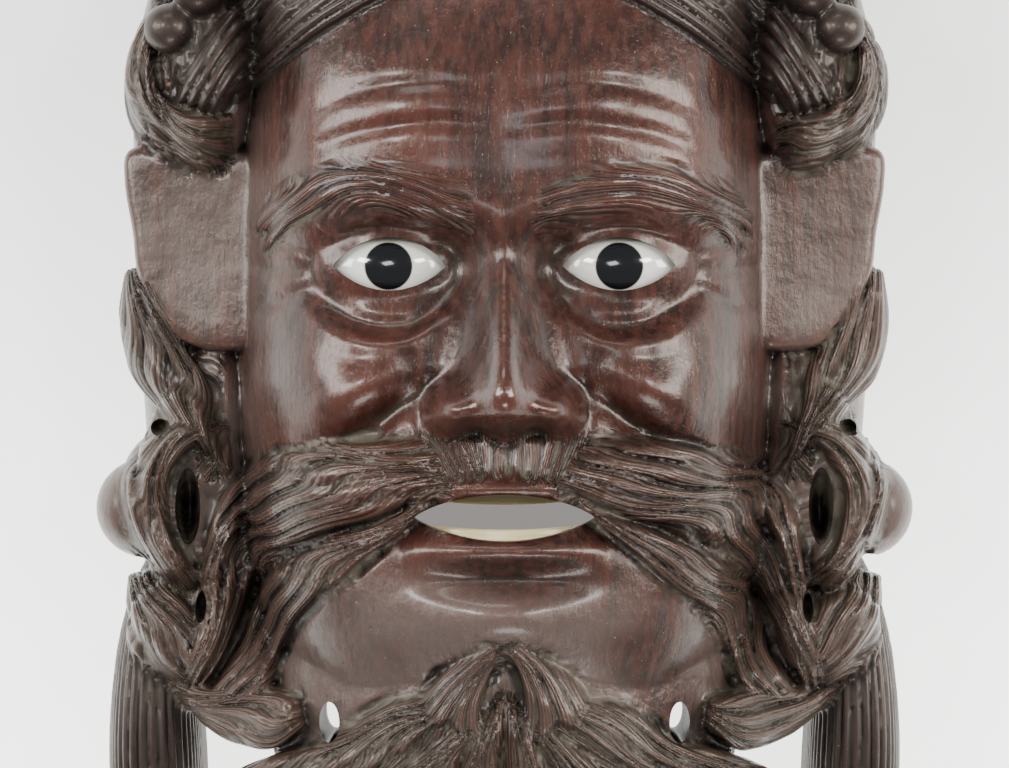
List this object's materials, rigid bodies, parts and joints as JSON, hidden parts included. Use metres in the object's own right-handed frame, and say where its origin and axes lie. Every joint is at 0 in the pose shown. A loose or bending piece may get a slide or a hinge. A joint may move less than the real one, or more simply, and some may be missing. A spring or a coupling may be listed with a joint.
{
  "type": "carved wooden mask",
  "caption": "Carved hardwood mask of a bearded elder in a ribbed head wrap, lying face up on its hollow back, with inset glass eyes and bone teeth behind parted lips.",
  "frame": {"origin": "on the floor under the middle of the mask's bounding box, the mask lying on the flat rim of its hollow back", "axes": "+Z comes out of the face, +Y runs from the beard to the crown, +X is to the right as the viewer looks at the face"},
  "size_m": [0.2048, 0.2986, 0.1069],
  "materials": {
    "carved_wood": "dark red-brown hardwood, oiled and varnished, with pale dust in the grooves",
    "eye_glass": "opaque white glass with a black pupil, polished",
    "bone": "polished cream bone"
  },
  "bodies": {
    "root": {"carved_mask": "carved_wood", "glass_eye_left": "eye_glass", "glass_eye_right": "eye_glass", "upper_teeth": "bone", "lower_teeth": "bone"}
  },
  "joints": []
}
